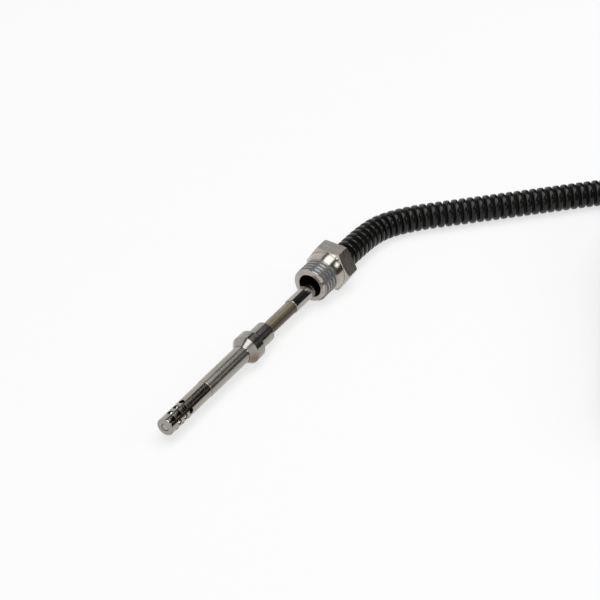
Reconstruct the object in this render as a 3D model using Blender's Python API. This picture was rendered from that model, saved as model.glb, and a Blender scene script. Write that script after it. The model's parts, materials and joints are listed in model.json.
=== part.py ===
"""Exhaust gas temperature sensor, lying on a table.

A probe with a perforated tip, a seal collar and a loose union nut, and a corrugated conduit
that ends in a two-way plug. The probe lies along +Y with its tip at the low end. Z is up, and
z = 0 is the table. Sizes are in metres.
"""

from math import cos, pi, radians, sin, sqrt

import bmesh
import bpy
import numpy as np
from mathutils import Matrix, Vector

MM = 0.001

# Clearances
fit_gap = 0.05 * MM      # between turned pieces that sit one in the other
seat_gap = 0.3 * MM      # between a piece and what it lies on

# Roundness of the turned pieces
probe_sides = 48
wire_sides = 12
hole_sides = 16

# Perforated shield, the front tube
shield_diameter = 5.8 * MM
shield_wall = 0.5 * MM
shield_length = 20.9 * MM
shield_end_wall = 0.7 * MM
shield_edge_round = 0.55 * MM
shield_neck_length = 3.0 * MM
shield_neck_wall = 0.3 * MM
shield_hole_diameter = 1.85 * MM
shield_hole_columns = 8
shield_hole_rows = 3
shield_hole_pitch = 3.05 * MM
first_hole_station = 2.35 * MM
shield_hole_turn = radians(15.0)

# Closed cap over the sensing element, seen through the holes
cap_diameter = 3.2 * MM
cap_wall = 0.25 * MM
cap_end_wall = 0.5 * MM
cap_nub_diameter = 2.4 * MM
cap_nub_recess = 0.08 * MM
cap_rear_station = 9.0 * MM
cap_weld_height = 0.22 * MM
cap_weld_width = 1.2 * MM

# Sensing element
element_width = 1.6 * MM
element_thickness = 0.6 * MM
element_length = 2.4 * MM
element_station = 2.6 * MM

# Metal-sheathed cable inside the stem
sheath_diameter = 4.35 * MM
sheath_wall = 0.35 * MM
sheath_neck_wall = 0.3 * MM
sheath_swage_station = 24.6 * MM
sheath_swage_length = 1.6 * MM
sheath_rear_station = 76.0 * MM
conductor_diameter = 0.5 * MM
conductor_spacing = 1.3 * MM
conductor_past_sheath = 5.8 * MM

# Stem, the plain tube behind the shield
stem_diameter = 6.0 * MM
stem_wall = 0.5 * MM
stem_seat_depth = 4.7 * MM

# Seal collar: cone, flange and sleeve turned as one
collar_cone_station = 41.6 * MM
collar_cone_diameter = 6.3 * MM
collar_lip_length = 0.3 * MM
flange_diameter = 9.66 * MM
flange_length = 3.82 * MM
cone_angle = radians(37.0)
flange_chamfer = 0.25 * MM
sleeve_diameter = 6.9 * MM
sleeve_length = 7.4 * MM
sleeve_chamfer = 0.35 * MM

# Transition ferrule, the bright tube that the nut hangs on
ferrule_front_station = 69.7 * MM
ferrule_diameter = 4.9 * MM
ferrule_lip = 0.25 * MM
ferrule_wall = 0.3 * MM
end_seal_length = 2.0 * MM

# Splices and leads inside the ferrule
splice_diameter = 1.2 * MM
splice_length = 5.0 * MM
splice_past_sheath = 3.4 * MM
lead_diameter = 1.2 * MM
grommet_length = 6.0 * MM

# Union nut
thread_diameter = 12.0 * MM
nose_station = 80.8 * MM
nose_chamfer = 0.4 * MM
bore_chamfer = 0.35 * MM
nut_bore_diameter = 7.9 * MM
thread_length = 6.9 * MM
skirt_length = 3.2 * MM
skirt_bow = 0.15 * MM
skirt_steps = 5
hex_step = 0.25 * MM         # the flats stand this far over the skirt
hex_front_angle = radians(60.0)
hex_across_flats = 14.0 * MM
nut_length = 15.7 * MM
hex_rear_chamfer = 0.35 * MM

# Corrugated conduit, its spare length folded into a flat hank
conduit_diameter = 8.7 * MM
hank_length = 130.5 * MM
hank_fold_radius = 26.1 * MM
hank_levels = 2
hank_turn = radians(27.6)
hank_upper_fold = Vector((97.2 * MM, 114.4 * MM, 0.0))
hank_fold_steps = 12

# Strap that ties the hank's near side
tie_thickness = 0.6 * MM
tie_width = 3.5 * MM
tie_from_fold = 10.0 * MM

# Plug
plug_body_width = 15.6 * MM
plug_body_height = 13.0 * MM
plug_body_length = 20.0 * MM
plug_nose_width = 11.0 * MM
plug_nose_height = 8.0 * MM
plug_nose_length = 15.0 * MM
plug_corner_round = 2.2 * MM
plug_shoulder = 1.2 * MM
backshell_length = 33.0 * MM
backshell_sleeve_length = 9.0 * MM
backshell_head_length = 5.0 * MM
plug_past_fold = 3.0 * MM
backshell_rear_diameter = 12.4 * MM
backshell_bore_diameter = 7.4 * MM
contact_spacing = 4.6 * MM
contact_width = 2.2 * MM
contact_pocket_width = 1.3 * MM
contact_length = 13.0 * MM
channel_gap = 0.15 * MM
wire_seal_diameter = 3.8 * MM
wire_seal_length = 5.0 * MM
nose_seal_thickness = 0.7 * MM
nose_seal_length = 5.0 * MM
lock_thickness = 2.8 * MM
latch_width = 6.0 * MM
latch_height = 1.8 * MM
latch_length = 11.0 * MM

# Worked out from the sizes above
probe_length = nose_station + nut_length
nut_height = hex_across_flats / 2
tube_height = nut_height - (nut_bore_diameter / 2 - ferrule_diameter / 2 - seat_gap)
flange_front_station = collar_cone_station + (flange_diameter - collar_cone_diameter) / 2 / (
    sin(cone_angle) / cos(cone_angle)
)
flange_rear_station = flange_front_station + flange_length
sleeve_rear_station = flange_rear_station + sleeve_length
stem_rear_station = collar_cone_station + stem_seat_depth
splice_station = sheath_rear_station + splice_past_sheath
conductor_rear_station = sheath_rear_station + conductor_past_sheath
conduit_radius = conduit_diameter / 2
conduit_lie = conduit_radius + fit_gap
exit_point = Vector((0.0, probe_length / 2 + seat_gap, tube_height))
hank_straight = hank_length - conduit_diameter - 2 * hank_fold_radius
hank_along = Vector((sin(hank_turn), -cos(hank_turn), 0.0))
hank_across = Vector((cos(hank_turn), sin(hank_turn), 0.0))
hank_lower_fold = hank_upper_fold + hank_along * hank_straight
hank_bottom = tie_thickness + 2 * fit_gap
hank_height = hank_levels * conduit_diameter + fit_gap
hank_top = hank_bottom + hank_height
tail_height = hank_top + seat_gap + conduit_radius
plug_height = hank_top + seat_gap + plug_body_height / 2
plug_rear = hank_upper_fold + hank_across * hank_fold_radius + hank_along * plug_past_fold

# The conduit's own points: across, ahead of the exit, and height over the table
run_points = [
    (0.0, 0.0, tube_height),
    (0.0, 7.5 * MM, 5.7 * MM),
    (-0.1 * MM, 14.5 * MM, 5.3 * MM),
    (0.1 * MM, 20.0 * MM, 4.95 * MM),
    (1.0 * MM, 25.2 * MM, 4.65 * MM),
    (3.5 * MM, 30.6 * MM, 4.5 * MM),
    (8.9 * MM, 38.0 * MM, conduit_lie),
    (18.4 * MM, 47.8 * MM, conduit_lie),
    (35.4 * MM, 65.1 * MM, conduit_lie),
    (52.3 * MM, 82.2 * MM, conduit_lie),
    (59.1 * MM, 87.3 * MM, conduit_lie),
    (67.5 * MM, 90.8 * MM, conduit_lie),
    (75.0 * MM, 91.9 * MM, conduit_lie),
]
# The tail over the upper fold: turn from the fold's centre, and height
tail_turns = [
    (radians(185.0), tail_height),
    (radians(160.0), tail_height),
    (radians(135.0), tail_height),
    (radians(110.0), tail_height),
    (radians(88.0), tail_height + 0.3 * MM),
    (radians(68.0), tail_height + 1.0 * MM),
    (radians(48.0), tail_height + 1.7 * MM),
]


def clear_scene():
    """Remove whatever the scene holds."""
    for old in list(bpy.data.objects):
        bpy.data.objects.remove(old, do_unlink=True)


def material(name, colour, roughness, metallic):
    """A plain Principled material."""
    made = bpy.data.materials.new(name)
    made.use_nodes = True
    shader = made.node_tree.nodes["Principled BSDF"]
    shader.inputs["Base Color"].default_value = (*colour, 1.0)
    shader.inputs["Roughness"].default_value = roughness
    shader.inputs["Metallic"].default_value = metallic
    return made


def add_object(name, data, parent=None, finish=None):
    """Link an object to the scene, under its parent and with its material."""
    made = bpy.data.objects.new(name, data)
    bpy.context.scene.collection.objects.link(made)
    made.parent = parent
    if finish:
        data.materials.append(finish)
    return made


def mesh_from(bm, name):
    """Turn a bmesh into mesh data, shaded smooth away from its edges."""
    bmesh.ops.recalc_face_normals(bm, faces=bm.faces)
    mesh = bpy.data.meshes.new(name)
    bm.to_mesh(mesh)
    bm.free()
    mesh.shade_smooth()
    mesh.set_sharp_from_angle(angle=radians(30.0))
    return mesh


def turned(name, profile, parent=None, finish=None, sides=probe_sides):
    """Spin a profile of (station, radius) points about the Y axis."""
    bm = bmesh.new()
    verts = [bm.verts.new((radius, station, 0.0)) for station, radius in profile]
    edges = [bm.edges.new(pair) for pair in zip(verts, verts[1:])]
    if profile[0][1] > 0.0:
        edges.append(bm.edges.new((verts[-1], verts[0])))
    bmesh.ops.spin(
        bm,
        geom=verts + edges,
        cent=(0.0, 0.0, 0.0),
        axis=(0.0, 1.0, 0.0),
        angle=2 * pi,
        steps=sides,
        use_merge=True,
    )
    bmesh.ops.remove_doubles(bm, verts=bm.verts, dist=0.001 * MM)
    return add_object(name, mesh_from(bm, name), parent, finish)


def rod(name, start, stop, diameter, across, parent, finish, sides=wire_sides):
    """A plain round rod beside the axis, from one station to another."""
    radius = diameter / 2
    profile = [(start, 0.0), (start, radius), (stop, radius), (stop, 0.0)]
    made = turned(name, profile, parent, finish, sides)
    made.location.x = across
    return made


def arc(centre_station, centre_radius, radius, start, stop, steps):
    """Profile points on an arc; angles run from +radius towards +station."""
    turns = np.linspace(radians(start), radians(stop), steps + 1)
    return [(centre_station + radius * sin(t), centre_radius + radius * cos(t)) for t in turns]


def as_cutter(cutter):
    """Hide an object that only shapes another."""
    cutter.hide_render = True
    cutter.display_type = "WIRE"
    return cutter


def boolean(target, cutter, operation="DIFFERENCE"):
    """Cut, join or intersect one object with another."""
    as_cutter(cutter)
    step = target.modifiers.new(cutter.name, "BOOLEAN")
    step.operation = operation
    step.object = cutter
    step.solver = "EXACT"


def twin_bores(name, start, stop, diameter, spacing, parent, sides=wire_sides):
    """Two round cutters side by side along the axis."""
    bm = bmesh.new()
    for side in (-1, 1):
        place = Matrix.Translation((side * spacing / 2, (start + stop) / 2, 0.0))
        bmesh.ops.create_cone(
            bm,
            cap_ends=True,
            segments=sides,
            radius1=diameter / 2,
            radius2=diameter / 2,
            depth=stop - start,
            matrix=place @ Matrix.Rotation(pi / 2, 4, "X"),
        )
    return add_object(name, mesh_from(bm, name), parent)


def rounded_outline(width, height, corner, steps=4):
    """Points round a rectangle with round corners, in X and Z."""
    points = []
    for quarter, (sign_x, sign_z) in enumerate(((1, 1), (-1, 1), (-1, -1), (1, -1))):
        centre_x = sign_x * (width / 2 - corner)
        centre_z = sign_z * (height / 2 - corner)
        for step in range(steps + 1):
            turn = pi / 2 * (quarter + step / steps)
            points.append((centre_x + corner * cos(turn), centre_z + corner * sin(turn)))
    return points


def lofted(name, sections, parent=None, finish=None):
    """Skin (station, width, height, corner) sections along Y and close both ends."""
    bm = bmesh.new()
    rings = []
    for station, width, height, corner in sections:
        outline = rounded_outline(width, height, corner)
        rings.append([bm.verts.new((x, station, z)) for x, z in outline])
    for ring, following in zip(rings, rings[1:]):
        for i, vert in enumerate(ring):
            after = (i + 1) % len(ring)
            bm.faces.new((vert, ring[after], following[after], following[i]))
    bm.faces.new(rings[0])
    bm.faces.new(rings[-1])
    return add_object(name, mesh_from(bm, name), parent, finish)


def make_shield(axis, finish):
    """Front tube with its holes, closed end and the neck that enters the stem."""
    outer = shield_diameter / 2
    inner = outer - shield_wall
    neck_outer = stem_diameter / 2 - stem_wall - fit_gap
    neck_inner = neck_outer - shield_neck_wall
    nub_hole = cap_nub_diameter / 2 + fit_gap
    edge = shield_edge_round
    neck_rear = shield_length + shield_neck_length
    profile = [
        (0.0, nub_hole),
        *arc(edge, outer - edge, edge, -90.0, 0.0, 4),
        (shield_length, outer),
        (shield_length, neck_outer),
        (neck_rear, neck_outer),
        (neck_rear, neck_inner),
        (shield_length - shield_wall, neck_inner),
        (shield_length - 2 * shield_wall, inner),
        (shield_end_wall, inner),
        (shield_end_wall, nub_hole),
    ]
    shield = turned("perforated_shield", profile, axis, finish)
    bm = bmesh.new()
    reach = 2 * shield_wall + shield_hole_diameter
    for column in range(shield_hole_columns):
        turn = shield_hole_turn + column * 2 * pi / shield_hole_columns
        stagger = 0.5 * shield_hole_pitch * ((column + 1) % 2)
        for row in range(shield_hole_rows):
            station = first_hole_station + stagger + row * shield_hole_pitch
            middle = outer - shield_wall / 2
            place = Matrix.Translation((middle * cos(turn), station, middle * sin(turn)))
            bmesh.ops.create_cone(
                bm,
                cap_ends=True,
                segments=hole_sides,
                radius1=shield_hole_diameter / 2,
                radius2=shield_hole_diameter / 2,
                depth=reach - shield_wall,
                matrix=place @ Matrix.Rotation(-turn, 4, "Y") @ Matrix.Rotation(pi / 2, 4, "Y"),
            )
    boolean(shield, add_object("shield_hole_cutter", mesh_from(bm, "shield_holes"), axis))


def make_cap(axis, finish):
    """Closed inner tube; its nub fills the hole in the shield's end."""
    outer = cap_diameter / 2
    inner = outer - cap_wall
    nub = cap_nub_diameter / 2
    front = shield_end_wall + fit_gap
    cavity = front + cap_end_wall
    weld_front = cap_rear_station - cap_weld_width
    profile = [
        (cap_nub_recess, 0.0),
        (cap_nub_recess, nub),
        (front, nub),
        (front, outer),
        (weld_front, outer),
        (weld_front + cap_weld_width / 4, outer + cap_weld_height * 0.8),
        (weld_front + cap_weld_width / 2, outer + cap_weld_height),
        (weld_front + cap_weld_width * 3 / 4, outer + cap_weld_height * 0.8),
        (cap_rear_station, outer),
        (cap_rear_station, inner),
        (cavity, inner),
        (cavity, 0.0),
    ]
    turned("element_cap", profile, axis, finish)


def make_element(axis, finish):
    """The sensing chip inside the cap."""
    rear = element_station + element_length
    section = (element_width, element_thickness, element_thickness / 6)
    lofted("sensing_element", [(element_station, *section), (rear, *section)], axis, finish)


def make_sheath(axis, sheath_finish, core_finish, wire_finish):
    """Sheath drawn down at its front, its mineral core and the two conductors."""
    neck = cap_diameter / 2
    neck_inner = neck - sheath_neck_wall
    outer = sheath_diameter / 2
    inner = outer - sheath_wall
    front = cap_rear_station + fit_gap
    swage_rear = sheath_swage_station + sheath_swage_length
    profile = [
        (front, neck_inner),
        (front, neck),
        (sheath_swage_station, neck),
        (swage_rear, outer),
        (sheath_rear_station, outer),
        (sheath_rear_station, inner),
        (swage_rear, inner),
        (sheath_swage_station, neck_inner),
    ]
    turned("sheath_tube", profile, axis, sheath_finish)
    core_profile = [
        (front, 0.0),
        (front, neck_inner - fit_gap),
        (sheath_swage_station, neck_inner - fit_gap),
        (swage_rear, inner - fit_gap),
        (sheath_rear_station, inner - fit_gap),
        (sheath_rear_station, 0.0),
    ]
    core = turned("insulation_core", core_profile, axis, core_finish)
    bores = twin_bores(
        "core_bore_cutter",
        front - seat_gap,
        sheath_rear_station + seat_gap,
        conductor_diameter + 2 * fit_gap,
        conductor_spacing,
        axis,
    )
    boolean(core, bores)
    start = element_station + element_length + fit_gap
    for side, place in (("left", -1), ("right", 1)):
        across = place * conductor_spacing / 2
        rod(
            f"conductor_{side}",
            start,
            conductor_rear_station,
            conductor_diameter,
            across,
            axis,
            wire_finish,
        )


def make_stem(axis, finish):
    """Plain tube from the shield to its seat in the collar."""
    outer = stem_diameter / 2
    inner = outer - stem_wall
    front = shield_length + fit_gap
    profile = [
        (front, inner),
        (front, outer),
        (stem_rear_station, outer),
        (stem_rear_station, inner),
    ]
    turned("stem_tube", profile, axis, finish)


def make_collar(axis, finish):
    """Cone, flange and sleeve, bored for the stem in front and the sheath behind."""
    stem_bore = stem_diameter / 2 + fit_gap
    sheath_bore = sheath_diameter / 2 + fit_gap
    flange = flange_diameter / 2
    sleeve = sleeve_diameter / 2
    chamfer = flange_chamfer
    profile = [
        (collar_cone_station - collar_lip_length, stem_bore),
        (collar_cone_station - collar_lip_length, collar_cone_diameter / 2),
        (collar_cone_station, collar_cone_diameter / 2),
        (flange_front_station, flange),
        (flange_rear_station - chamfer, flange),
        (flange_rear_station, flange - chamfer),
        (flange_rear_station, sleeve),
        (sleeve_rear_station - sleeve_chamfer, sleeve),
        (sleeve_rear_station, sleeve - sleeve_chamfer),
        (sleeve_rear_station, sheath_bore),
        (stem_rear_station + fit_gap, sheath_bore),
        (stem_rear_station + fit_gap, stem_bore),
    ]
    turned("seal_collar", profile, axis, finish)


def make_ferrule(axis, finish):
    """Bright tube over the cable's end, open at the rear for the leads."""
    outer = ferrule_diameter / 2
    lip = ferrule_lip
    sheath_bore = sheath_diameter / 2 + fit_gap
    cavity = outer - ferrule_wall
    shoulder = sheath_rear_station + fit_gap
    profile = [
        (ferrule_front_station, sheath_bore),
        *arc(ferrule_front_station + lip, outer - lip, lip, -90.0, 0.0, 3)[1:],
        (probe_length, outer),
        (probe_length, cavity),
        (shoulder, cavity),
        (shoulder, sheath_bore),
    ]
    turned("transition_ferrule", profile, axis, finish)


def make_splices(axis, seal_finish, crimp_finish, lead_finish, grommet_finish):
    """End seal, crimped splices, leads and rear grommet inside the ferrule."""
    cavity = ferrule_diameter / 2 - ferrule_wall - fit_gap
    seal_front = sheath_rear_station + 3 * fit_gap
    seal_rear = seal_front + end_seal_length
    seal_profile = [(seal_front, 0.0), (seal_front, cavity), (seal_rear, cavity), (seal_rear, 0.0)]
    seal = turned("end_seal", seal_profile, axis, seal_finish)
    wire_bore = conductor_diameter + 2 * fit_gap
    seal_bores = twin_bores(
        "seal_bore_cutter",
        seal_front - seat_gap,
        seal_rear + seat_gap,
        wire_bore,
        conductor_spacing,
        axis,
    )
    boolean(seal, seal_bores)

    splice_rear = splice_station + splice_length
    grommet_front = probe_length - grommet_length - seat_gap
    grommet_rear = probe_length - seat_gap
    grommet_profile = [
        (grommet_front, 0.0),
        (grommet_front, cavity),
        (grommet_rear, cavity),
        (grommet_rear, 0.0),
    ]
    grommet = turned("lead_grommet", grommet_profile, axis, grommet_finish)
    lead_bores = twin_bores(
        "grommet_bore_cutter",
        grommet_front - seat_gap,
        grommet_rear + seat_gap,
        lead_diameter + fit_gap,
        conductor_spacing,
        axis,
    )
    boolean(grommet, lead_bores)

    for side, place in (("left", -1), ("right", 1)):
        across = place * conductor_spacing / 2
        splice = rod(
            f"splice_{side}",
            splice_station,
            splice_rear,
            splice_diameter,
            across,
            axis,
            crimp_finish,
        )
        bore = rod(
            f"splice_bore_cutter_{side}",
            splice_station - seat_gap,
            splice_rear + seat_gap,
            wire_bore,
            across,
            axis,
            None,
        )
        boolean(splice, bore)
        core = conductor_diameter / 2
        middle = conductor_rear_station + seat_gap
        lead_profile = [
            (middle, 0.0),
            (middle, core),
            (splice_rear + fit_gap, core),
            (splice_rear + fit_gap, lead_diameter / 2),
            (grommet_rear, lead_diameter / 2),
            (grommet_rear, 0.0),
        ]
        lead = turned(f"lead_{side}", lead_profile, axis, lead_finish, wire_sides)
        lead.location.x = across


def make_nut(nut_axis, finish):
    """Union nut: bored nose for the thread, bowed skirt and hexagon."""
    thread = thread_diameter / 2
    bore = nut_bore_diameter / 2
    corner = hex_across_flats / sqrt(3.0)
    past_corner = corner + seat_gap
    nose = nose_station
    skirt = nose + thread_length
    rear = nose + nut_length
    skirt_rear = skirt + skirt_length
    skirt_top = hex_across_flats / 2 - hex_step
    rise = sin(hex_front_angle) / cos(hex_front_angle)
    bowed = []
    for step in range(skirt_steps + 1):
        share = step / skirt_steps
        bow = 4 * skirt_bow * share * (1 - share)
        bowed.append((skirt + share * skirt_length, thread + share * (skirt_top - thread) + bow))
    profile = [
        (nose, bore + bore_chamfer),
        (nose, thread - nose_chamfer),
        (nose + nose_chamfer, thread),
        *bowed,
        (skirt_rear + (past_corner - skirt_top) / rise, past_corner),
        (rear - hex_rear_chamfer, past_corner),
        (rear, past_corner - 2 * hex_rear_chamfer),
        (rear, bore + bore_chamfer),
        (rear - bore_chamfer, bore),
        (nose + bore_chamfer, bore),
    ]
    nut = turned("union_nut", profile, nut_axis, finish)
    margin = seat_gap
    hex_profile = [
        (nose - margin, 0.0),
        (nose - margin, corner),
        (rear + margin, corner),
        (rear + margin, 0.0),
    ]
    hexagon = turned("hexagon_cutter", hex_profile, nut_axis, sides=6)
    boolean(nut, hexagon, "INTERSECT")


def smooth_line(knots, spacing, end_step):
    """Points on a smooth curve through the knots, with a short first and last step."""
    knots = np.array([tuple(knot) for knot in knots])
    ends = [2 * knots[0] - knots[1], *knots, 2 * knots[-1] - knots[-2]]
    fine = []
    for before, start, stop, after in zip(ends, ends[1:], ends[2:], ends[3:]):
        for t in np.linspace(0.0, 1.0, 20, endpoint=False):
            slope = (stop - before) * t
            bend = (2 * before - 5 * start + 4 * stop - after) * t**2
            twist = (3 * start - before - 3 * stop + after) * t**3
            fine.append((2 * start + slope + bend + twist) / 2)
    fine = np.array([*fine, knots[-1]])
    along = np.concatenate([[0.0], np.cumsum(np.linalg.norm(np.diff(fine, axis=0), axis=1))])
    stops = np.linspace(0.0, along[-1], round(along[-1] / spacing) + 1)
    stops = np.sort([*stops, end_step, along[-1] - end_step])
    return np.column_stack([np.interp(stops, along, fine[:, k]) for k in range(3)])


def tube(name, line, finish):
    """The conduit as a plain round tube along a line."""
    curve = bpy.data.curves.new(name, "CURVE")
    curve.dimensions = "3D"
    curve.bevel_depth = conduit_radius
    curve.bevel_resolution = 4
    curve.use_fill_caps = True
    spline = curve.splines.new("POLY")
    spline.points.add(len(line) - 1)
    for point, place in zip(spline.points, line):
        point.co = (*place, 1.0)
    return add_object(name, curve, None, finish)


def hank_loop():
    """Places round the hank's middle line, each with its outward direction."""
    quarter = pi / 2 - hank_turn
    places = []
    for centre, start in ((hank_upper_fold, pi / 2 - quarter), (hank_lower_fold, -quarter - pi / 2)):
        for turn in np.linspace(start, start + pi, hank_fold_steps + 1):
            outward = Vector((cos(turn), sin(turn), 0.0))
            places.append((centre + outward * hank_fold_radius, outward))
    return places


def upright_section(width, height, steps=6):
    """Points round an upright slot shape, as (outward, height) from its middle."""
    radius = width / 2
    lift = height / 2 - radius
    points = []
    for sign in (1, -1):
        for turn in np.linspace(0.0, pi, steps + 1):
            points.append((sign * radius * cos(turn), sign * (lift + radius * sin(turn))))
    return points


def make_conduit(finish, tie_finish):
    """The run from the nut, the hank, the tail that rises on to it and the hank's tie."""
    spacing = 2 * conduit_diameter
    end_step = conduit_diameter / 8
    run = [exit_point + Vector((x, y, z - exit_point.z)) for x, y, z in run_points]
    tube("conduit_run", smooth_line(run, spacing, end_step), finish)
    tail = []
    for turn, height in tail_turns:
        outward = Vector((cos(turn), sin(turn), 0.0))
        tail.append(hank_upper_fold + outward * hank_fold_radius + Vector((0.0, 0.0, height)))
    plug_end = plug_rear + Vector((0.0, 0.0, plug_height))
    tail += [plug_end - hank_along * conduit_radius, plug_end]
    tube("conduit_tail", smooth_line(tail, spacing, end_step), finish)

    section = upright_section(conduit_diameter, hank_height)
    middle = hank_bottom + hank_height / 2
    bm = bmesh.new()
    rings = []
    for place, outward in hank_loop():
        ring = [place + outward * out + Vector((0.0, 0.0, middle + up)) for out, up in section]
        rings.append([bm.verts.new(point) for point in ring])
    for ring, following in zip(rings, [*rings[1:], rings[0]]):
        for i, vert in enumerate(ring):
            after = (i + 1) % len(ring)
            bm.faces.new((vert, following[i], following[after], ring[after]))
    add_object("conduit_hank", mesh_from(bm, "conduit_hank"), None, finish)

    inner = upright_section(conduit_diameter + 2 * fit_gap, hank_height + 2 * fit_gap)
    thick = 2 * (fit_gap + tie_thickness)
    outer = upright_section(conduit_diameter + thick, hank_height + thick)
    near_side = hank_lower_fold - hank_across * hank_fold_radius - hank_along * tie_from_fold
    bm = bmesh.new()
    rings = []
    for along, outline in ((-1, inner), (-1, outer), (1, outer), (1, inner)):
        start = near_side + hank_along * (along * tie_width / 2) + Vector((0.0, 0.0, middle))
        ring = [start + hank_across * out + Vector((0.0, 0.0, up)) for out, up in outline]
        rings.append([bm.verts.new(point) for point in ring])
    for ring, following in zip(rings, [*rings[1:], rings[0]]):
        for i, vert in enumerate(ring):
            after = (i + 1) % len(ring)
            bm.faces.new((vert, following[i], following[after], ring[after]))
    add_object("hank_tie", mesh_from(bm, "hank_tie"), None, tie_finish)


def make_plug(plug_axis, body_finish, seal_finish, lock_finish, contact_finish, lead_finish):
    """Two-way plug on the conduit's end, with its backshell, seals and contacts."""
    body_front = backshell_length + fit_gap + plug_body_length
    nose_front = body_front + plug_nose_length
    shell_front = backshell_length
    rear = seat_gap
    round_rear = backshell_rear_diameter / 2 - fit_gap
    body = (plug_body_width, plug_body_height, plug_corner_round)
    slim = 2 * plug_shoulder
    shoulder = (plug_body_width - slim, plug_body_height - slim, plug_corner_round)
    nose = (plug_nose_width, plug_nose_height, plug_corner_round)
    rear_size = (backshell_rear_diameter, backshell_rear_diameter, round_rear)

    shell = lofted(
        "plug_backshell",
        [
            (rear, *rear_size),
            (rear + backshell_sleeve_length, *rear_size),
            (shell_front - backshell_head_length, *shoulder),
            (shell_front, *shoulder),
        ],
        plug_axis,
        body_finish,
    )
    shell_bore = rod(
        "backshell_bore_cutter",
        rear - seat_gap,
        shell_front + seat_gap,
        backshell_bore_diameter,
        0.0,
        plug_axis,
        None,
        sides=24,
    )
    boolean(shell, shell_bore)

    housing = lofted(
        "plug_housing",
        [
            (shell_front + fit_gap, *shoulder),
            (shell_front + fit_gap + plug_shoulder, *body),
            (body_front - plug_shoulder, *body),
            (body_front, *shoulder),
            (body_front, *nose),
            (nose_front, *nose),
        ],
        plug_axis,
        body_finish,
    )
    seal_front = shell_front + fit_gap + wire_seal_length
    contact_front = nose_front - fit_gap
    contact_rear = contact_front - contact_length
    channel = contact_width + 2 * channel_gap
    seal_channels = twin_bores(
        "seal_channel_cutter",
        shell_front - seat_gap,
        contact_rear,
        wire_seal_diameter + 2 * fit_gap,
        contact_spacing,
        plug_axis,
        sides=16,
    )
    boolean(housing, seal_channels)

    latch_top = plug_body_height / 2 + latch_height / 2
    latch_rear = body_front - latch_length
    latch_corner = latch_height / 8
    latch = lofted(
        "latch_shape",
        [
            (latch_rear, latch_width, latch_height, latch_corner),
            (body_front - 2 * plug_shoulder, latch_width, latch_height, latch_corner),
        ],
        plug_axis,
    )
    latch.location.z = latch_top - fit_gap
    boolean(housing, latch, "UNION")

    for side, place in (("left", -1), ("right", 1)):
        across = place * contact_spacing / 2
        square = (channel, channel, channel / 8)
        contact_channel = lofted(
            f"contact_channel_cutter_{side}",
            [(contact_rear - seat_gap, *square), (nose_front + seat_gap, *square)],
            plug_axis,
        )
        contact_channel.location.x = across
        boolean(housing, contact_channel)

        box = (contact_width, contact_width, contact_width / 8)
        barrel = (lead_diameter, lead_diameter, lead_diameter / 8)
        contact = lofted(
            f"contact_{side}",
            [
                (contact_rear, *barrel),
                (contact_rear + contact_length / 3, *barrel),
                (contact_rear + contact_length / 3, *box),
                (contact_front, *box),
            ],
            plug_axis,
            contact_finish,
        )
        contact.location.x = across
        pocket_size = (contact_pocket_width, contact_pocket_width, contact_pocket_width / 8)
        pocket = lofted(
            f"contact_pocket_cutter_{side}",
            [
                (contact_rear + contact_length / 2, *pocket_size),
                (contact_front + seat_gap, *pocket_size),
            ],
            plug_axis,
        )
        pocket.location.x = across
        boolean(contact, pocket)

        wire_seal = rod(
            f"wire_seal_{side}",
            shell_front + 2 * fit_gap,
            seal_front,
            wire_seal_diameter,
            across,
            plug_axis,
            seal_finish,
            sides=16,
        )
        seal_bore = rod(
            f"wire_seal_bore_cutter_{side}",
            shell_front - seat_gap,
            seal_front + seat_gap,
            lead_diameter + 2 * fit_gap,
            across,
            plug_axis,
            None,
        )
        boolean(wire_seal, seal_bore)
        rod(
            f"plug_lead_{side}",
            rear,
            contact_rear - fit_gap,
            lead_diameter,
            across,
            plug_axis,
            lead_finish,
        )

    wide = plug_nose_width + 2 * nose_seal_thickness
    tall = plug_nose_height + 2 * nose_seal_thickness
    round_seal = plug_corner_round + nose_seal_thickness
    pinch = nose_seal_thickness / 2
    ridge = (wide, tall, round_seal)
    valley = (wide - pinch, tall - pinch, round_seal)
    start = body_front + fit_gap
    quarter = nose_seal_length / 4
    nose_seal = lofted(
        "nose_seal",
        [
            (start, *valley),
            (start + quarter, *ridge),
            (start + 2 * quarter, *valley),
            (start + 3 * quarter, *ridge),
            (start + 4 * quarter, *valley),
        ],
        plug_axis,
        seal_finish,
    )
    hollow = (plug_nose_width + 2 * fit_gap, plug_nose_height + 2 * fit_gap, plug_corner_round)
    hollow_cutter = lofted(
        "nose_seal_cutter",
        [(start - seat_gap, *hollow), (start + nose_seal_length + seat_gap, *hollow)],
        plug_axis,
    )
    boolean(nose_seal, hollow_cutter)

    lock_rear = nose_front + fit_gap
    lock_front = lock_rear + lock_thickness
    tip = (nose[0] - plug_shoulder, nose[1] - plug_shoulder, plug_corner_round)
    lock = lofted(
        "contact_lock",
        [
            (lock_rear, *nose),
            (lock_front - plug_shoulder / 2, *nose),
            (lock_front, *tip),
        ],
        plug_axis,
        lock_finish,
    )
    lock_holes = twin_bores(
        "lock_hole_cutter",
        lock_rear - seat_gap,
        lock_front + seat_gap,
        contact_pocket_width,
        contact_spacing,
        plug_axis,
    )
    boolean(lock, lock_holes)


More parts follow.
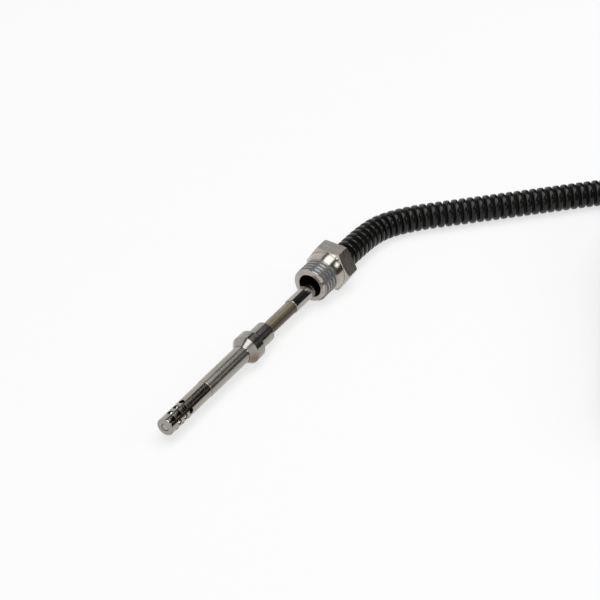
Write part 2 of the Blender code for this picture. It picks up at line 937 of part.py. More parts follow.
def main():
    clear_scene()
    brushed = material("brushed_stainless", (0.62, 0.60, 0.57), 0.35, 1.0)
    turned_steel = material("turned_stainless", (0.66, 0.64, 0.60), 0.3, 1.0)
    tinted = material("heat_tinted_steel", (0.45, 0.38, 0.30), 0.35, 1.0)
    bright = material("bright_steel", (0.75, 0.73, 0.70), 0.2, 1.0)
    nut_steel = material("nut_steel", (0.60, 0.58, 0.54), 0.35, 1.0)
    ceramic = material("white_ceramic", (0.85, 0.84, 0.80), 0.6, 0.0)
    nickel = material("nickel_wire", (0.70, 0.68, 0.62), 0.3, 1.0)
    brass = material("tinned_brass", (0.72, 0.66, 0.48), 0.35, 1.0)
    glass_seal = material("glass_seal", (0.35, 0.45, 0.40), 0.3, 0.0)
    lead_cover = material("lead_cover", (0.75, 0.74, 0.70), 0.5, 0.0)
    dark_rubber = material("dark_rubber", (0.04, 0.04, 0.04), 0.7, 0.0)
    black_conduit = material("black_conduit", (0.03, 0.03, 0.033), 0.45, 0.0)
    black_plastic = material("black_plastic", (0.035, 0.035, 0.04), 0.5, 0.0)
    seal_orange = material("orange_rubber", (0.65, 0.22, 0.06), 0.6, 0.0)
    lock_grey = material("grey_plastic", (0.45, 0.46, 0.47), 0.5, 0.0)

    axis = add_object("probe_axis", None)
    axis.location = (0.0, -probe_length / 2, tube_height)
    nut_axis = add_object("nut_axis", None)
    nut_axis.location = (0.0, -probe_length / 2, nut_height)
    plug_axis = add_object("plug_axis", None)
    plug_axis.location = plug_rear + Vector((0.0, 0.0, plug_height))
    plug_axis.rotation_euler.z = pi + hank_turn

    make_shield(axis, brushed)
    make_cap(axis, tinted)
    make_element(axis, ceramic)
    make_sheath(axis, tinted, ceramic, nickel)
    make_stem(axis, brushed)
    make_collar(axis, turned_steel)
    make_ferrule(axis, bright)
    make_splices(axis, glass_seal, brass, lead_cover, dark_rubber)
    make_nut(nut_axis, nut_steel)
    make_conduit(black_conduit, black_plastic)
    make_plug(plug_axis, black_plastic, seal_orange, lock_grey, brass, lead_cover)


main()
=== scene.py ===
"""Exhaust gas temperature sensor on a white table: perforated probe, collar, union nut, conduit and plug."""

import json
from math import cos, pi, radians, sin, sqrt, tan

import bpy
import numpy as np
from mathutils import Matrix, Vector


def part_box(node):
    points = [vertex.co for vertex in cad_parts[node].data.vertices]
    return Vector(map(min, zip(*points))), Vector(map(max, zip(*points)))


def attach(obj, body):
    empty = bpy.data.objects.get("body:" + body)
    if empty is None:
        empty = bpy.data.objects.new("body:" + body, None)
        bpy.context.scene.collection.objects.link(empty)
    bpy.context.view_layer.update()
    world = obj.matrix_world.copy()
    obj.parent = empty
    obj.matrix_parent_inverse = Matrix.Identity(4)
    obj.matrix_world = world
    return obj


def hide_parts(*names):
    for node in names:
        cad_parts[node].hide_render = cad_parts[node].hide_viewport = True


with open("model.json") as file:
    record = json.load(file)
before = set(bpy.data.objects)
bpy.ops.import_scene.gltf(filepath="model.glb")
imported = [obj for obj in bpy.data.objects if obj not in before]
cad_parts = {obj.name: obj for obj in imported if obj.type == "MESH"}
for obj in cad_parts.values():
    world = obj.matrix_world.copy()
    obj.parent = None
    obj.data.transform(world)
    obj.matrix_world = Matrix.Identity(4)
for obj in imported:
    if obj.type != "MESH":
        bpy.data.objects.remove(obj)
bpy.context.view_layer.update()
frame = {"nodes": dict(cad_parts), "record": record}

bl_info = {
    "name": "Exhaust temperature sensor",
    "version": (1, 0, 0),
    "blender": (4, 5, 0),
    "location": "View3D > Sidebar > Sensor",
    "description": "Models an exhaust temperature sensor with its union nut, conduit and plug",
    "category": "Add Mesh",
}

MM = 0.001

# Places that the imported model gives
shield_low, shield_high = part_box("perforated_shield")
nut_low, nut_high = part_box("union_nut")
ferrule_low, ferrule_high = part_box("transition_ferrule")
PROBE_TIP = shield_low.y
PROBE_HEIGHT = (shield_low.z + shield_high.z) / 2
NUT_HEIGHT = (nut_low.z + nut_high.z) / 2
NUT_NOSE = nut_low.y
NUT_REAR = nut_high.y

# The conduit's route, as in the part: across, along and height, in millimetres
EXIT = Vector((0.0, 48.55, 5.8)) * MM
RUN = [
    (0.0, 0.0, 5.8), (0.0, 7.5, 5.7), (-0.1, 14.5, 5.3), (0.1, 20.0, 4.95), (1.0, 25.2, 4.65),
    (3.5, 30.6, 4.5), (8.9, 38.0, 4.4), (18.4, 47.8, 4.4), (35.4, 65.1, 4.4), (52.3, 82.2, 4.4),
    (59.1, 87.3, 4.4), (67.5, 90.8, 4.5), (77.0, 91.95, 4.7), (87.0, 91.95, 4.9),
]
FOLD_UPPER = (97.2, 114.4)
FOLD_RADIUS = 26.1
FOLD_SPAN = 69.6
HANK_TURN = radians(27.6)
HANK_ALONG = (sin(HANK_TURN), -cos(HANK_TURN))
HANK_ACROSS = (cos(HANK_TURN), sin(HANK_TURN))
HANK_LEVELS = (5.05, 13.75, 22.8)
PLUG_HEIGHT = 24.95
PLUG_PAST_FOLD = 3.0

# The camera that the photograph was taken with
CAMERA_PLACE = Vector((0.378018, -0.568890, 0.544540))
CAMERA_RIGHT = Vector((0.84433, 0.53583, 0.0))
CAMERA_UP = Vector((-0.32545, 0.51282, 0.79441))
CAMERA_LENS = 168.76


class ProbeSettings(bpy.types.PropertyGroup):
    """Sizes of the probe, in the part's own measures"""

    shield_diameter: bpy.props.FloatProperty(
        name="Shield diameter", description="Outside of the perforated tube",
        default=5.8 * MM, unit="LENGTH")
    shield_length: bpy.props.FloatProperty(
        name="Shield length", description="From the tip to the seam with the stem",
        default=20.9 * MM, unit="LENGTH")
    hole_diameter: bpy.props.FloatProperty(
        name="Hole diameter", description="Each gas hole in the shield",
        default=1.85 * MM, unit="LENGTH")
    hole_pitch: bpy.props.FloatProperty(
        name="Hole pitch", description="From one hole to the next along a column",
        default=3.05 * MM, unit="LENGTH")
    stem_diameter: bpy.props.FloatProperty(
        name="Stem diameter", description="Outside of the plain tube",
        default=6.0 * MM, unit="LENGTH")
    flange_diameter: bpy.props.FloatProperty(
        name="Flange diameter", description="Widest part of the seal collar",
        default=9.66 * MM, unit="LENGTH")
    ferrule_diameter: bpy.props.FloatProperty(
        name="Ferrule diameter", description="Bright tube that the nut hangs on",
        default=4.9 * MM, unit="LENGTH")
    edge: bpy.props.FloatProperty(
        name="Edge", description="Width of the broken edges on turned pieces",
        default=0.08 * MM, unit="LENGTH")


class NutSettings(bpy.types.PropertyGroup):
    """Sizes of the union nut"""

    thread_diameter: bpy.props.FloatProperty(
        name="Thread diameter", description="Over the crests of the thread",
        default=11.9 * MM, unit="LENGTH")
    thread_pitch: bpy.props.FloatProperty(
        name="Thread pitch", description="From crest to crest",
        default=1.5 * MM, unit="LENGTH")
    thread_length: bpy.props.FloatProperty(
        name="Thread length", description="From the nose to the skirt",
        default=6.9 * MM, unit="LENGTH")
    skirt_length: bpy.props.FloatProperty(
        name="Skirt length", description="Bowed part between the thread and the hexagon",
        default=3.2 * MM, unit="LENGTH")
    across_flats: bpy.props.FloatProperty(
        name="Across flats", description="Size of the hexagon for a spanner",
        default=14.0 * MM, unit="LENGTH")
    bore: bpy.props.FloatProperty(
        name="Bore", description="Hole through the nut",
        default=7.9 * MM, unit="LENGTH")
    edge: bpy.props.FloatProperty(
        name="Edge", description="Width of the broken edges on the hexagon",
        default=0.16 * MM, unit="LENGTH")


class ConduitSettings(bpy.types.PropertyGroup):
    """Sizes of the corrugated conduit"""

    diameter: bpy.props.FloatProperty(
        name="Diameter", description="Over the ridges",
        default=8.7 * MM, unit="LENGTH")
    pitch: bpy.props.FloatProperty(
        name="Ridge pitch", description="From ridge to ridge",
        default=2.69 * MM, unit="LENGTH")
    groove: bpy.props.FloatProperty(
        name="Groove depth", description="How deep the grooves are",
        default=1.3 * MM, unit="LENGTH")


class FinishSettings(bpy.types.PropertyGroup):
    """Colours of the finishes"""

    shield_steel: bpy.props.FloatVectorProperty(
        name="Tube steel", description="Satin stainless of the shield and the stem",
        default=(0.37, 0.345, 0.31), subtype="COLOR", size=3)
    collar_steel: bpy.props.FloatVectorProperty(
        name="Collar steel", description="Turned stainless of the seal collar",
        default=(0.35, 0.335, 0.305), subtype="COLOR", size=3)
    tinted_steel: bpy.props.FloatVectorProperty(
        name="Tinted steel", description="Stainless with a brown heat tint",
        default=(0.36, 0.31, 0.225), subtype="COLOR", size=3)
    cap_steel: bpy.props.FloatVectorProperty(
        name="Cap steel", description="Brown from heat, seen through the holes",
        default=(0.36, 0.285, 0.20), subtype="COLOR", size=3)
    ferrule_steel: bpy.props.FloatVectorProperty(
        name="Ferrule steel", description="Bright drawn tube",
        default=(0.41, 0.395, 0.365), subtype="COLOR", size=3)
    nut_steel: bpy.props.FloatVectorProperty(
        name="Nut steel", description="Satin turned and milled steel",
        default=(0.47, 0.435, 0.39), subtype="COLOR", size=3)
    thread_film: bpy.props.FloatVectorProperty(
        name="Thread film", description="Grey film in the thread's grooves",
        default=(0.115, 0.124, 0.132), subtype="COLOR", size=3)
    conduit_black: bpy.props.FloatVectorProperty(
        name="Conduit", description="Black polyamide of the conduit",
        default=(0.0065, 0.006, 0.0055), subtype="COLOR", size=3)
    plug_black: bpy.props.FloatVectorProperty(
        name="Plug", description="Black moulded plastic of the plug",
        default=(0.014, 0.014, 0.016), subtype="COLOR", size=3)
    seal_orange: bpy.props.FloatVectorProperty(
        name="Seals", description="Orange silicone of the plug's seals",
        default=(0.62, 0.17, 0.035), subtype="COLOR", size=3)


class StageSettings(bpy.types.PropertyGroup):
    """The table, the lamps and the cards round it"""

    table_colour: bpy.props.FloatVectorProperty(
        name="Table", description="Pale table top",
        default=(0.94, 0.94, 0.94), subtype="COLOR", size=3)
    table_white: bpy.props.FloatProperty(
        name="Table white", description="Share of the white below that shows through the table",
        default=0.7)
    key_power: bpy.props.FloatProperty(
        name="Key light", description="Power of the soft light overhead", default=10.0, unit="POWER")
    fill_power: bpy.props.FloatProperty(
        name="Side light", description="Power of the soft light at the right", default=1.5, unit="POWER")


# ---------------------------------------------------------------- modelling


def deselect():
    """Leave edit mode and select nothing."""
    if bpy.context.object and bpy.context.object.mode != "OBJECT":
        bpy.ops.object.mode_set(mode="OBJECT")
    bpy.ops.object.select_all(action="DESELECT")


def pick(piece):
    """Make this piece the only selected one."""
    deselect()
    piece.select_set(True)
    bpy.context.view_layer.objects.active = piece


def settle(piece):
    """Put the piece's place into its mesh, so that its object sits at the origin."""
    pick(piece)
    bpy.ops.object.transform_apply(location=True, rotation=True, scale=True)
    return piece


def draw_line(name, points):
    """A line of edges through the points, drawn by extruding one corner."""
    deselect()
    bpy.ops.mesh.primitive_plane_add(size=0.1 * MM, location=points[0])
    line = bpy.context.object
    line.name = name
    settle(line)
    bpy.ops.object.mode_set(mode="EDIT")
    bpy.ops.mesh.select_all(action="SELECT")
    bpy.ops.mesh.merge(type="CENTER")
    for before, after in zip(points, points[1:]):
        step = Vector(after) - Vector(before)
        bpy.ops.mesh.extrude_region_move(TRANSFORM_OT_translate={"value": step})
    bpy.ops.object.mode_set(mode="OBJECT")
    return line


def turn_piece(name, profile, height=PROBE_HEIGHT, sides=96, closed=True):
    """Spin a profile of (place along Y, radius) points about the axis at that height."""
    points = [(radius, along, height) for along, radius in profile]
    if closed and profile[0][1] > 0.0:
        points.append(points[0])
    piece = draw_line(name, points)
    pick(piece)
    bpy.ops.object.mode_set(mode="EDIT")
    bpy.ops.mesh.select_all(action="SELECT")
    bpy.ops.mesh.remove_doubles(threshold=0.001 * MM)
    bpy.ops.mesh.select_all(action="SELECT")
    bpy.ops.mesh.spin(
        steps=sides, angle=2 * pi, use_auto_merge=True,
        center=(0.0, 0.0, height), axis=(0.0, 1.0, 0.0))
    bpy.ops.mesh.select_all(action="SELECT")
    bpy.ops.mesh.remove_doubles(threshold=0.001 * MM)
    bpy.ops.mesh.normals_make_consistent(inside=False)
    bpy.ops.object.mode_set(mode="OBJECT")
    return piece


def apply_modifier(piece, kind, **settings):
    """Add a modifier and apply it."""
    pick(piece)
    bpy.ops.object.modifier_add(type=kind)
    step = piece.modifiers[-1]
    for key, value in settings.items():
        setattr(step, key, value)
    bpy.ops.object.modifier_apply(modifier=step.name)


def cut_with(piece, tool, operation="DIFFERENCE"):
    """Cut, join or intersect the piece with a tool, which is used up."""
    apply_modifier(piece, "BOOLEAN", operation=operation, solver="EXACT", object=tool)
    bpy.data.objects.remove(tool)


def copy_of(piece, matrix):
    """A copy with its own mesh, moved by a matrix."""
    twin = piece.copy()
    twin.data = piece.data.copy()
    twin.data.transform(matrix)
    bpy.context.scene.collection.objects.link(twin)
    return twin


def join_all(name, pieces):
    """Join pieces into one mesh."""
    deselect()
    for piece in pieces:
        piece.select_set(True)
    bpy.context.view_layer.objects.active = pieces[0]
    bpy.ops.object.join()
    pieces[0].name = name
    return pieces[0]


def soften(piece, width, segments=2, angle=30.0, smooth=35.0):
    """Break the sharp edges and shade the rest smooth."""
    if width > 0.0:
        apply_modifier(
            piece, "BEVEL", width=width, segments=segments, limit_method="ANGLE",
            angle_limit=radians(angle), use_clamp_overlap=True)
    pick(piece)
    bpy.ops.object.shade_smooth_by_angle(angle=radians(smooth))
    apply_modifier(piece, "WEIGHTED_NORMAL", keep_sharp=True, weight=80)


def finish_piece(piece, body, slot, material, *nodes):
    """Give the piece its finish, its body and the CAD nodes that it stands for."""
    piece.data.materials.clear()
    piece.data.materials.append(material)
    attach(piece, body)
    if nodes:
        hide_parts(*nodes)


# ---------------------------------------------------------------- finishes


class Recipe:
    """A material under construction: its nodes and the links between them."""

    def __init__(self, name):
        self.material = bpy.data.materials.new(name)
        self.material.use_nodes = True
        self.nodes = self.material.node_tree.nodes
        self.links = self.material.node_tree.links
        self.shader = self.nodes["Principled BSDF"]

    def add(self, kind, inputs=None, **settings):
        """Add a node; inputs that are sockets are linked, the rest are set."""
        node = self.nodes.new(kind)
        for key, value in settings.items():
            setattr(node, key, value)
        for key, value in (inputs or {}).items():
            if isinstance(value, bpy.types.NodeSocket):
                self.links.new(value, node.inputs[key])
            else:
                node.inputs[key].default_value = value
        return node

    def place(self, scale=(1.0, 1.0, 1.0), location=(0.0, 0.0, 0.0), rotation=(0.0, 0.0, 0.0)):
        """Object coordinates, moved, turned and stretched."""
        start = self.add("ShaderNodeTexCoord").outputs["Object"]
        mapping = self.add("ShaderNodeMapping", {
            "Vector": start, "Location": location, "Rotation": rotation, "Scale": scale})
        return mapping.outputs["Vector"]

    def noise(self, vector, scale, detail=3.0, roughness=0.55):
        """Noise from 0 to 1 at so many cells to the metre."""
        return self.add("ShaderNodeTexNoise", {
            "Vector": vector, "Scale": scale, "Detail": detail, "Roughness": roughness,
        }).outputs["Fac"]

    def off_axis(self, height):
        """Distance from the axis along Y at that height."""
        flat = self.place((1.0, 0.0, 1.0), (0.0, 0.0, -height))
        return self.add("ShaderNodeVectorMath", {0: flat}, operation="LENGTH").outputs["Value"]

    def along(self):
        """Place along Y."""
        start = self.add("ShaderNodeTexCoord").outputs["Object"]
        return self.add("ShaderNodeSeparateXYZ", {"Vector": start}).outputs["Y"]

    def near(self, point, inner, outer):
        """1 close to a point, falling to 0 further away."""
        start = self.add("ShaderNodeTexCoord").outputs["Object"]
        apart = self.add("ShaderNodeVectorMath", {0: start, 1: point}, operation="DISTANCE")
        return self.spread(apart.outputs["Value"], 1.0, 0.0, inner, outer)

    def times(self, first, second):
        """Multiply two values."""
        return self.add("ShaderNodeMath", {0: first, 1: second}, operation="MULTIPLY").outputs[0]

    def spread(self, value, low, high, start=0.25, stop=0.75):
        """Map a value from one range to another."""
        return self.add("ShaderNodeMapRange", {
            "Value": value, "From Min": start, "From Max": stop, "To Min": low, "To Max": high,
        }).outputs["Result"]

    def blend(self, factor, first, second):
        """Mix two colours."""
        node = self.add("ShaderNodeMix", data_type="RGBA")
        sockets = [s for s in node.inputs if s.enabled]
        for socket, value in zip(sockets, (factor, first, second)):
            if isinstance(value, bpy.types.NodeSocket):
                self.links.new(value, socket)
            elif isinstance(value, (int, float)):
                socket.default_value = value
            else:
                socket.default_value = (*value, 1.0)
        return next(s for s in node.outputs if s.enabled)

    def blend_value(self, factor, first, second):
        """Mix two numbers."""
        node = self.add("ShaderNodeMix", data_type="FLOAT")
        sockets = [s for s in node.inputs if s.enabled]
        for socket, value in zip(sockets, (factor, first, second)):
            if isinstance(value, bpy.types.NodeSocket):
                self.links.new(value, socket)
            else:
                socket.default_value = value
        return next(s for s in node.outputs if s.enabled)

    def bump(self, height, distance, strength=1.0, normal=None):
        """Bump from a height that runs from 0 to 1."""
        inputs = {"Height": height, "Distance": distance, "Strength": strength}
        if normal:
            inputs["Normal"] = normal
        return self.add("ShaderNodeBump", inputs).outputs["Normal"]

    def set(self, **values):
        """Set or link the shader's sockets; names have _ for spaces."""
        for key, value in values.items():
            socket = self.shader.inputs[key.replace("_", " ")]
            if isinstance(value, bpy.types.NodeSocket):
                self.links.new(value, socket)
            elif socket.type == "RGBA":
                socket.default_value = (*value, 1.0)
            else:
                socket.default_value = value
        return self.material


def darker(colour, share):
    """A colour with that share of its light."""
    return tuple(channel * share for channel in colour)


def turned_metal(name, colour, height, low, high, stain=0.85, marks=2600.0, depth=3e-6):
    """Metal with fine marks round its axis and soft stains."""
    made = Recipe(name)
    rings = made.noise(made.place((0.03, 1.0, 0.03), (0.0, 0.0, -height * 0.03)), marks, 4.0, 0.7)
    cloud = made.noise(made.place(), 260.0, 3.0)
    speck = made.noise(made.place(), 2100.0, 2.0)
    tone = made.blend(made.spread(cloud, 0.0, 1.0, 0.35, 0.7), darker(colour, stain), colour)
    tone = made.blend(made.spread(rings, 0.0, 0.25, 0.3, 0.7), tone, darker(colour, stain * 0.86))
    rough = made.spread(rings, low, high, 0.3, 0.7)
    bump = made.bump(rings, depth, 0.35, made.bump(speck, depth, 0.2))
    made.set(Base_Color=tone, Metallic=1.0, Roughness=rough, Normal=bump)
    return made, tone, rough


def drawn_metal(name, colour, low, high, stain=0.85, marks=3000.0, depth=4e-6):
    """Metal with fine marks along its length and soft stains."""
    made = Recipe(name)
    lines = made.noise(made.place((1.0, 0.035, 1.0)), marks, 4.0, 0.65)
    cloud = made.noise(made.place((1.0, 0.5, 1.0)), 260.0, 3.0)
    speck = made.noise(made.place(), 1400.0, 2.0)
    tone = made.blend(made.spread(cloud, 0.0, 1.0, 0.35, 0.7), darker(colour, stain), colour)
    tone = made.blend(made.spread(lines, 0.0, 0.25, 0.3, 0.7), tone, darker(colour, stain * 0.85))
    rough = made.spread(lines, low, high, 0.3, 0.7)
    bump = made.bump(lines, depth, 0.3, made.bump(speck, depth * 0.4, 0.2))
    made.set(Base_Color=tone, Metallic=1.0, Roughness=rough, Normal=bump)
    return made, tone, rough


def shield_metal(colour, outer):
    """Satin tube, with painted shade darkening its inside and its hole walls."""
    made, tone, rough = drawn_metal("shield_steel", colour, 0.10, 0.16, depth=1e-6)
    # Painted shade: the inside of the tube and the walls of its holes, from 0.05 mm below the outer surface,
    # go near black and dull between 0.4 mm and 15 mm behind the tip.
    inside = made.spread(
        made.off_axis(PROBE_HEIGHT), 1.0, 0.0, outer - 0.10 * MM, outer - 0.05 * MM)
    behind = made.spread(made.along(), 0.0, 1.0, PROBE_TIP + 0.40 * MM, PROBE_TIP + 0.45 * MM)
    before = made.spread(made.along(), 1.0, 0.0, PROBE_TIP + 15.0 * MM, PROBE_TIP + 15.1 * MM)
    painted_shade_inside = made.times(inside, made.times(behind, before))
    return made.set(
        Base_Color=made.blend(painted_shade_inside, tone, (0.022, 0.019, 0.016)),
        Metallic=made.blend_value(painted_shade_inside, 1.0, 0.1),
        Roughness=made.blend_value(painted_shade_inside, rough, 0.6))


def cap_metal(colour, bare):
    """Cap steel, brown from heat behind its bare front end."""
    made, tone, rough = drawn_metal("cap_steel", colour, 0.14, 0.22, 0.7)
    tip = made.spread(made.along(), 1.0, 0.0, PROBE_TIP + 0.3 * MM, PROBE_TIP + 0.7 * MM)
    return made.set(
        Base_Color=made.blend(tip, tone, bare), Roughness=made.blend_value(tip, rough, 0.3))


def tinted_metal(colour):
    """Sheath steel with a dull heat tint, browner near the collar, and painted shade that darkens its left
    and right sides.
    """
    made, tone, rough = drawn_metal("tinted_steel", colour, 0.32, 0.42, 0.75)
    browner = made.spread(made.along(), 1.0, 0.0, PROBE_TIP + 54.0 * MM, PROBE_TIP + 64.0 * MM)
    patches = made.noise(made.place(), 420.0, 3.0)
    browner = made.times(browner, made.spread(patches, 0.2, 0.9, 0.35, 0.65))
    tint_and_painted_shade = made.blend(browner, tone, (colour[0] * 0.62, colour[1] * 0.54, colour[2] * 0.48))
    # Painted shade: the tube darkens towards its right side from 0.6 mm off the axis, and towards its left
    # side from 1 mm off it.
    across = made.add("ShaderNodeSeparateXYZ", {
        "Vector": made.add("ShaderNodeTexCoord").outputs["Object"]}).outputs["X"]
    right = made.spread(across, 0.0, 1.0, 0.6 * MM, 2.0 * MM)
    left = made.spread(across, 0.0, 1.0, -1.0 * MM, -2.0 * MM)
    tint_and_painted_shade = made.blend(right, tint_and_painted_shade, (colour[0] * 0.28, colour[1] * 0.25, colour[2] * 0.21))
    tint_and_painted_shade = made.blend(left, tint_and_painted_shade, (colour[0] * 0.30, colour[1] * 0.28, colour[2] * 0.26))
    return made.set(Base_Color=tint_and_painted_shade, Metallic=0.8)


def collar_metal(colour):
    """Turned collar with a brown stain low on its cone."""
    made, tone, rough = turned_metal(
        "collar_steel", colour, PROBE_HEIGHT, 0.16, 0.23, depth=1e-6)
    stain = made.near((3.4 * MM, PROBE_TIP + 43.0 * MM, PROBE_HEIGHT - 1.5 * MM), 1.2 * MM, 3.4 * MM)
    return made.set(Base_Color=made.blend(
        made.times(stain, 0.95), tone, (colour[0] * 0.55, colour[1] * 0.42, colour[2] * 0.33)))


def nut_metal(colour, film, sizes):
    """Turned and milled nut with a grey film in the grooves of its thread."""
    made, tone, rough = turned_metal("nut_steel", colour, NUT_HEIGHT, 0.24, 0.36, 0.8, 1700.0, 2e-6)
    crest = sizes.thread_diameter / 2
    end = NUT_NOSE + sizes.thread_length
    along = made.along()
    radius = made.off_axis(NUT_HEIGHT)
    front = made.spread(along, 0.0, 1.0, NUT_NOSE + 0.35 * MM, NUT_NOSE + 0.6 * MM)
    back = made.spread(along, 1.0, 0.0, end - 0.15 * MM, end + 0.15 * MM)
    outside = made.spread(radius, 0.0, 1.0, crest - 1.3 * MM, crest - 1.1 * MM)
    groove = made.spread(radius, 1.0, 0.15, crest - 0.14 * MM, crest - 0.03 * MM)
    blot = made.spread(made.noise(made.place(), 900.0, 3.0), 0.75, 1.0, 0.35, 0.6)
    filmed = made.times(made.times(front, back), made.times(outside, groove))
    filmed = made.times(filmed, blot)
    turned = made.spread(
        along, 0.68, 1.0, end + sizes.skirt_length, end + sizes.skirt_length + 0.3 * MM)
    return made.set(
        Base_Color=made.blend(filmed, tone, film),
        Metallic=made.blend_value(filmed, 1.0, 0.35),
        Roughness=made.blend_value(filmed, made.times(rough, turned), 0.48))


def conduit_plastic(colour):
    """Black satin plastic that is dull down in the grooves, with painted shade that darkens the grooves."""
    made = Recipe("conduit_black")
    crest = made.add("ShaderNodeAttribute", attribute_name="crest").outputs["Fac"]
    fine = made.noise(made.place(), 2600.0, 3.0, 0.6)
    cloud = made.noise(made.place(), 300.0, 3.0)
    tone = made.blend(made.spread(cloud, 0.0, 0.6, 0.4, 0.75), colour, darker(colour, 1.6))
    rough = made.spread(cloud, 0.15, 0.23, 0.3, 0.7)
    # Painted shade: the base colour falls to a fifth down in the grooves, where crest is low.
    return made.set(
        Base_Color=made.blend(crest, darker(colour, 0.2), tone),
        Roughness=made.blend_value(crest, 0.85, rough), Specular_IOR_Level=0.3,
        Normal=made.bump(fine, 8e-6, 0.4))


def moulded_plastic(name, colour, rough, grain=5200.0, depth=8e-6, specular=0.35):
    """Moulded plastic or rubber with a fine grain and soft wear."""
    made = Recipe(name)
    fine = made.noise(made.place(), grain, 2.0, 0.6)
    cloud = made.noise(made.place(), 260.0, 3.0)
    tone = made.blend(made.spread(cloud, 0.0, 0.6, 0.4, 0.75), colour, darker(colour, 1.7))
    roughness = made.spread(cloud, rough - 0.05, rough + 0.08, 0.3, 0.7)
    return made.set(
        Base_Color=tone, Roughness=roughness, Specular_IOR_Level=specular,
        Normal=made.bump(fine, depth, 0.5))


def make_finishes():
    """Every finish, by the record's slot."""
    scene = bpy.context.scene
    colours = scene.sensor_finishes
    tone = {key: tuple(getattr(colours, key)) for key in FinishSettings.__annotations__}
    made = {
        "shield_steel": shield_metal(tone["shield_steel"], scene.sensor_probe.shield_diameter / 2),
        "stem_steel": drawn_metal(
            "stem_steel", tone["shield_steel"], 0.22, 0.29, depth=1e-6)[0].material,
        "collar_steel": collar_metal(tone["collar_steel"]),
        "tinted_steel": tinted_metal(tone["tinted_steel"]),
        "cap_steel": cap_metal(tone["cap_steel"], tone["shield_steel"]),
        "ferrule_steel": drawn_metal("ferrule_steel", tone["ferrule_steel"], 0.10, 0.17)[0].material,
        "nut_steel": nut_metal(tone["nut_steel"], tone["thread_film"], scene.sensor_nut),
        "ceramic": moulded_plastic("ceramic_white", (0.80, 0.79, 0.74), 0.55, 4000.0, 4e-6),
        "nickel_wire": drawn_metal("nickel_wire", (0.66, 0.64, 0.58), 0.2, 0.35)[0].material,
        "brass": drawn_metal("tinned_brass", (0.70, 0.63, 0.46), 0.25, 0.4, 0.75)[0].material,
        "lead_cover": moulded_plastic("lead_cover", (0.70, 0.69, 0.65), 0.42, 3000.0, 4e-6),
        "dark_rubber": moulded_plastic("dark_rubber", (0.02, 0.02, 0.02), 0.6),
        "conduit_black": conduit_plastic(tone["conduit_black"]),
        "plug_black": moulded_plastic("plug_black", tone["plug_black"], 0.42, 5200.0, 1e-5, 0.4),
        "seal_orange": moulded_plastic("seal_orange", tone["seal_orange"], 0.5, 3800.0, 4e-6),
        "lock_grey": moulded_plastic("lock_grey", (0.30, 0.31, 0.32), 0.45, 4600.0, 8e-6, 0.4),
    }
    glass = Recipe("glass_seal")
    bubbles = glass.noise(glass.place(), 900.0, 2.0)
    tint = glass.blend(glass.spread(bubbles, 0.0, 1.0), (0.20, 0.28, 0.24), (0.30, 0.40, 0.35))
    made["glass_seal"] = glass.set(Base_Color=tint, Roughness=glass.spread(bubbles, 0.12, 0.25))
    return made


FINISHES = {}


# ---------------------------------------------------------------- pieces


class SENSOR_OT_finishes(bpy.types.Operator):
    """Mix the finishes and give them to the CAD nodes that stay"""

    bl_idname = "sensor.finishes"
    bl_label = "Mix the finishes"

    def execute(self, context):
        FINISHES.update(make_finishes())
        for row in frame["record"]["subparts"]:
            node = frame["nodes"][row["node"]]
            node.data.materials.clear()
            node.data.materials.append(FINISHES[row["material_slot"]])
        return {"FINISHED"}


class SENSOR_OT_shield(bpy.types.Operator):
    """Perforated tube at the tip, with its round front edge and broken hole edges"""

    bl_idname = "sensor.shield"
    bl_label = "Perforated shield"

    def execute(self, context):
        sizes = context.scene.sensor_probe
        outer = sizes.shield_diameter / 2
        wall = 0.5 * MM
        inner = outer - wall
        neck = sizes.stem_diameter / 2 - wall - 0.05 * MM
        nub = 1.28 * MM
        edge = 0.3 * MM
        rear = PROBE_TIP + sizes.shield_length
        round_front = [
            (PROBE_TIP + edge - edge * sin(t), outer - edge + edge * cos(t))
            for t in np.linspace(pi / 2, 0.0, 9)]
        profile = [
            (PROBE_TIP, nub), *round_front, (PROBE_TIP + edge + 0.15 * MM, outer),
            (rear - 0.08 * MM, outer), (rear, outer - 0.08 * MM), (rear, neck),
            (rear + 3.0 * MM, neck), (rear + 3.0 * MM, neck - 0.3 * MM),
            (rear - wall, neck - 0.3 * MM), (rear - 2 * wall, inner),
            (PROBE_TIP + 0.7 * MM, inner), (PROBE_TIP + 0.7 * MM, nub)]
        shield = turn_piece("shield_tube", profile)
        radius = sizes.hole_diameter / 2
        lip = 0.05 * MM
        drill = turn_piece(
            "shield_drill",
            [(-wall - 0.9 * MM, 0.0), (-wall - 0.9 * MM, radius), (-lip, radius),
             (lip, radius + 2 * lip), (lip + 0.5 * MM, radius + 2 * lip), (lip + 0.5 * MM, 0.0)],
            0.0, sides=28)
        drill.data.transform(Matrix.Rotation(pi / 2, 4, "X"))
        drills = []
        for column in range(8):
            turn = radians(15.0) + column * pi / 4
            first = 2.35 * MM + (0.5 * sizes.hole_pitch if column % 2 == 0 else 0.0)
            for row in range(3):
                along = PROBE_TIP + first + row * sizes.hole_pitch
                at = Matrix.Translation((0.0, along, PROBE_HEIGHT))
                lift = Matrix.Translation((0.0, 0.0, outer))
                aim = Matrix.Rotation(pi / 2 - turn, 4, "Y")
                drills.append(copy_of(drill, at @ aim @ lift))
        bpy.data.objects.remove(drill)
        cut_with(shield, join_all("shield_drills", drills))
        soften(shield, 0.0)
        finish_piece(shield, "sensor", "shield_steel", FINISHES["shield_steel"], "perforated_shield")
        return {"FINISHED"}


